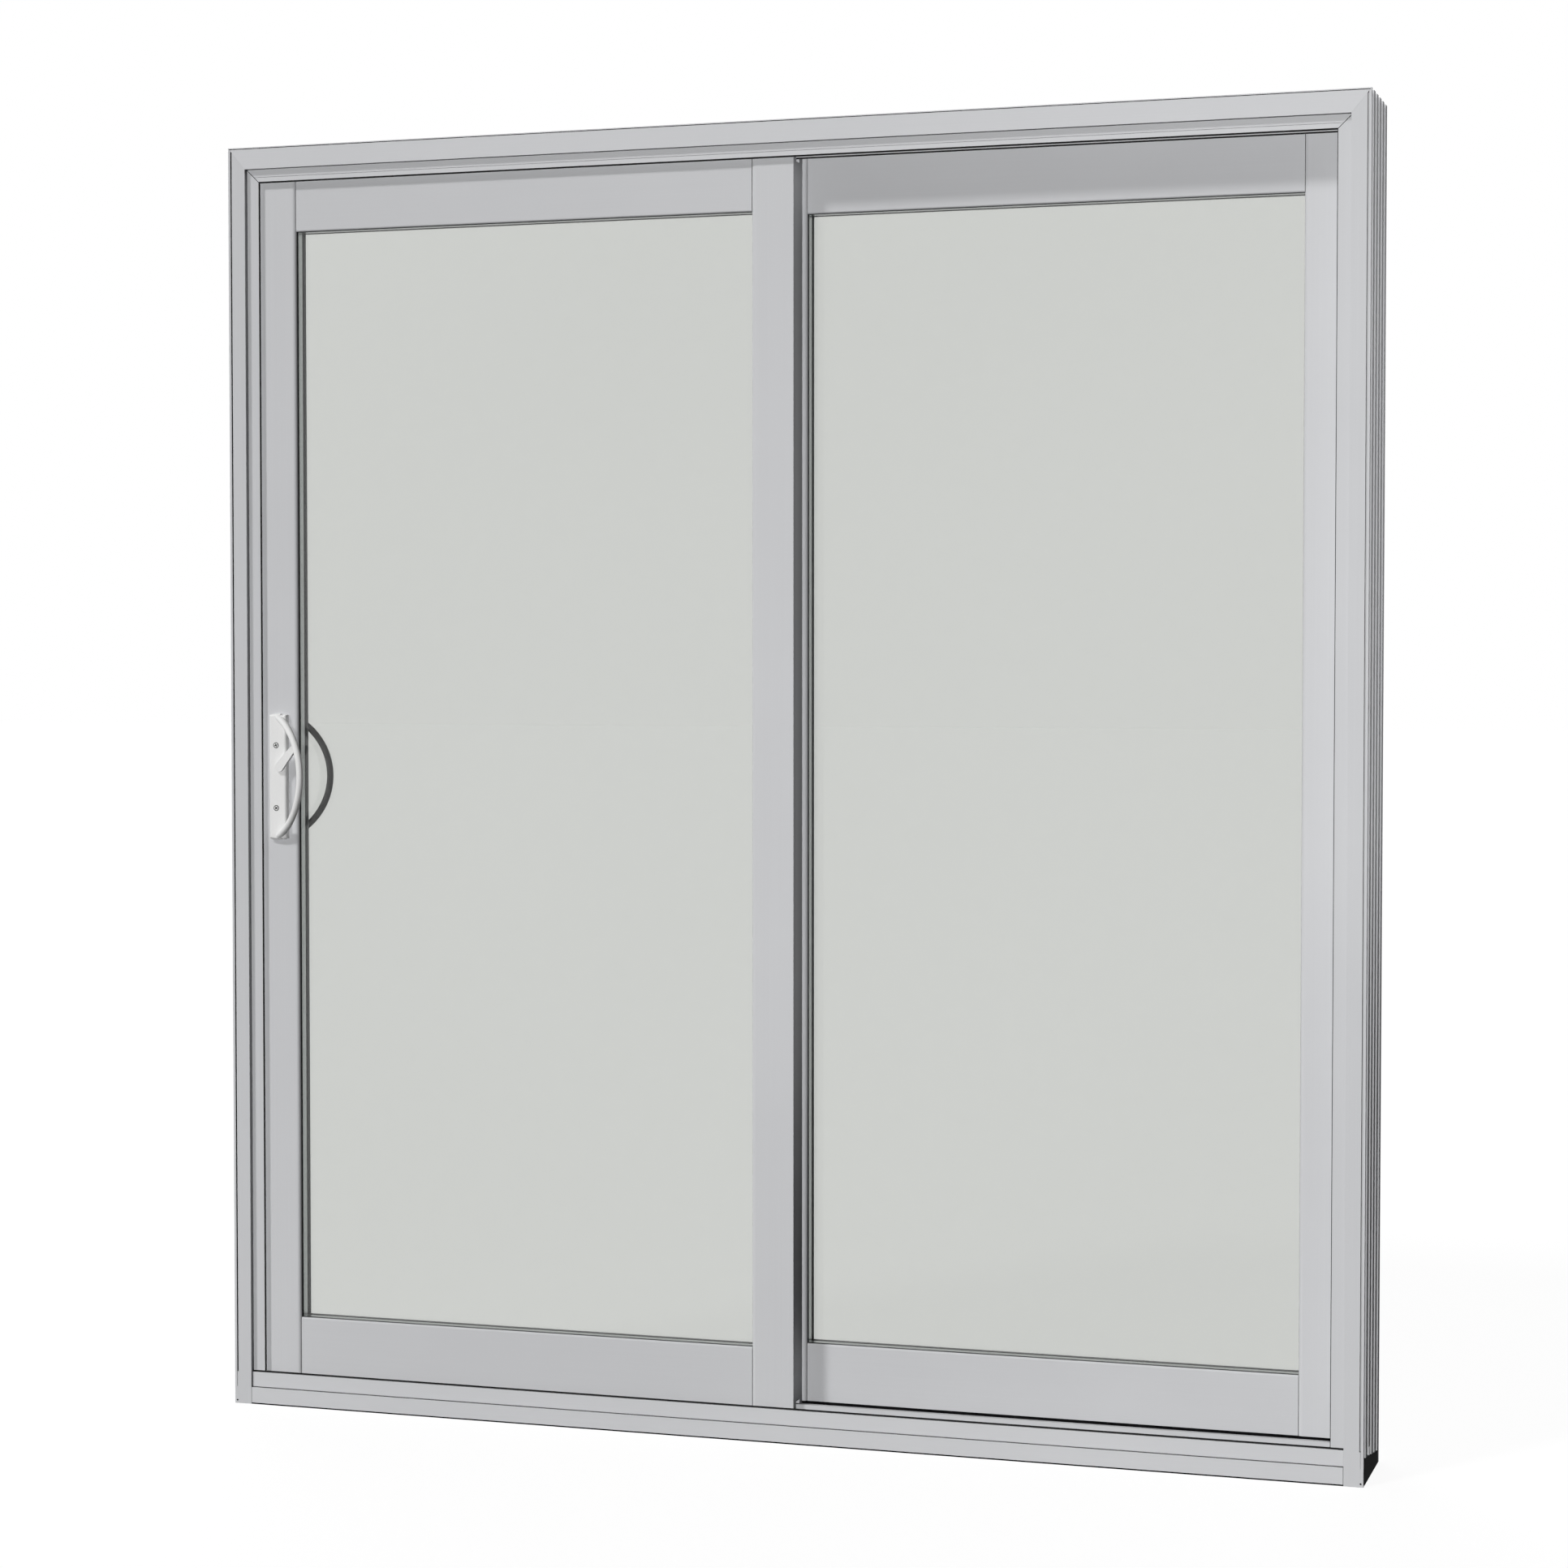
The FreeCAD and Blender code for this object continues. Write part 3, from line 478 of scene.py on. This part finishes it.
def add_lamp(name, kind, place, target, power, shadow):
    """A lamp at a place, facing a point, that neither gloss nor glass shows."""
    lamp = bpy.data.lights.new(name, kind)
    lamp.energy = power
    lamp.use_shadow = shadow
    placed = bpy.data.objects.new(name, lamp)
    placed.location = place
    placed.rotation_euler = (target - place).to_track_quat("-Z", "Y").to_euler()
    placed.visible_glossy = False
    placed.visible_transmission = False
    bpy.context.scene.collection.objects.link(placed)
    return lamp


def add_sun(name, direction, strength, softness, shadow):
    """A sun that shines from a direction."""
    sun = add_lamp(name, "SUN", direction * SUN_DISTANCE, Vector((0, 0, 0)), strength, shadow)
    sun.angle = softness


def add_spot(name, place, target, power, radius, cone, fade):
    """A soft spot without shadows, whose cone fades towards its rim."""
    spot = add_lamp(name, "SPOT", place, target, power, False)
    spot.shadow_soft_size = radius
    spot.spot_size = cone
    spot.spot_blend = fade


def make_lights():
    """Key from the upper left, and a front light, a fill and a rim that cast no shadows."""
    add_sun("key", KEY_DIRECTION, KEY_STRENGTH, KEY_SOFTNESS, True)
    add_sun("front", FRONT_DIRECTION, FRONT_STRENGTH, FRONT_SOFTNESS, False)
    add_spot("fill", FILL_PLACE, FILL_AIM, FILL_POWER, FILL_RADIUS, FILL_CONE, FILL_FADE)
    add_spot("rim", RIM_PLACE, RIM_AIM, RIM_POWER, RIM_RADIUS, RIM_CONE, RIM_FADE)


def seen_directly(nodes, links):
    """1 for what the camera sees, straight, in gloss or through glass, and 0 for light on the object."""
    path = nodes.new("ShaderNodeLightPath")
    total = path.outputs["Is Camera Ray"]
    for ray in ("Is Glossy Ray", "Is Transmission Ray"):
        total = calculated(nodes, links, "MAXIMUM", total, path.outputs[ray])
    unscattered = calculated(nodes, links, "LESS_THAN", path.outputs["Diffuse Depth"], SCATTERED)
    return calculated(nodes, links, "MULTIPLY", total, unscattered)


def soft_light(nodes, links):
    """Strength of the surroundings in each direction: an even part and a lobe per soft light."""
    place = nodes.new("ShaderNodeTexCoord")
    light = EVEN_LIGHT
    for direction, sharpness, strength in SOFT_LIGHTS:
        towards = nodes.new("ShaderNodeVectorMath")
        towards.operation = "DOT_PRODUCT"
        towards.inputs[1].default_value = direction.normalized()
        links.new(place.outputs["Generated"], towards.inputs[0])
        facing = calculated(nodes, links, "MAXIMUM", towards.outputs["Value"], 0.0)
        lobe = calculated(nodes, links, "POWER", facing, sharpness)
        part = calculated(nodes, links, "MULTIPLY", lobe, strength)
        light = calculated(nodes, links, "ADD", light, part)
    return light


def make_world():
    """White surroundings to the eye, and broad soft lights on the object."""
    world = bpy.data.worlds.new("studio")
    bpy.context.scene.world = world
    world.use_nodes = True
    nodes = world.node_tree.nodes
    links = world.node_tree.links
    choice = nodes.new("ShaderNodeMix")
    links.new(seen_directly(nodes, links), choice.inputs["Factor"])
    links.new(soft_light(nodes, links), choice.inputs["A"])
    choice.inputs["B"].default_value = 1.0
    links.new(choice.outputs["Result"], nodes["Background"].inputs["Strength"])
    nodes["Background"].inputs["Color"].default_value = WHITE


def make_floor():
    """Plain white floor that keeps a faint shadow."""
    mesh = bpy.data.meshes.new("floor")
    corners = [(x * FLOOR_REACH, y * FLOOR_REACH, 0) for x, y in ((-1, -1), (1, -1), (1, 1), (-1, 1))]
    mesh.from_pydata(corners, [], [(0, 1, 2, 3)])
    floor = bpy.data.objects.new("floor", mesh)
    bpy.context.scene.collection.objects.link(floor)
    material, nodes, links, shader = new_material("floor_white")
    shader.inputs["Base Color"].default_value = FLOOR_COLOUR
    shader.inputs["Roughness"].default_value = 1.0
    shader.inputs["Specular IOR Level"].default_value = 0.0
    shader.inputs["Emission Color"].default_value = WHITE
    glow = calculated(nodes, links, "MULTIPLY", seen_directly(nodes, links), FLOOR_GLOW)
    links.new(glow, shader.inputs["Emission Strength"])
    mesh.materials.append(material)


slot_finishes = make_finishes()
dress_nodes(slot_finishes)
smooth_pulls()
add_handle_screws(slot_finishes)
add_lock_screws(slot_finishes)
add_pin_holes(slot_finishes)
make_camera()
make_lights()
make_world()
make_floor()
bpy.context.scene.view_settings.view_transform = "Standard"
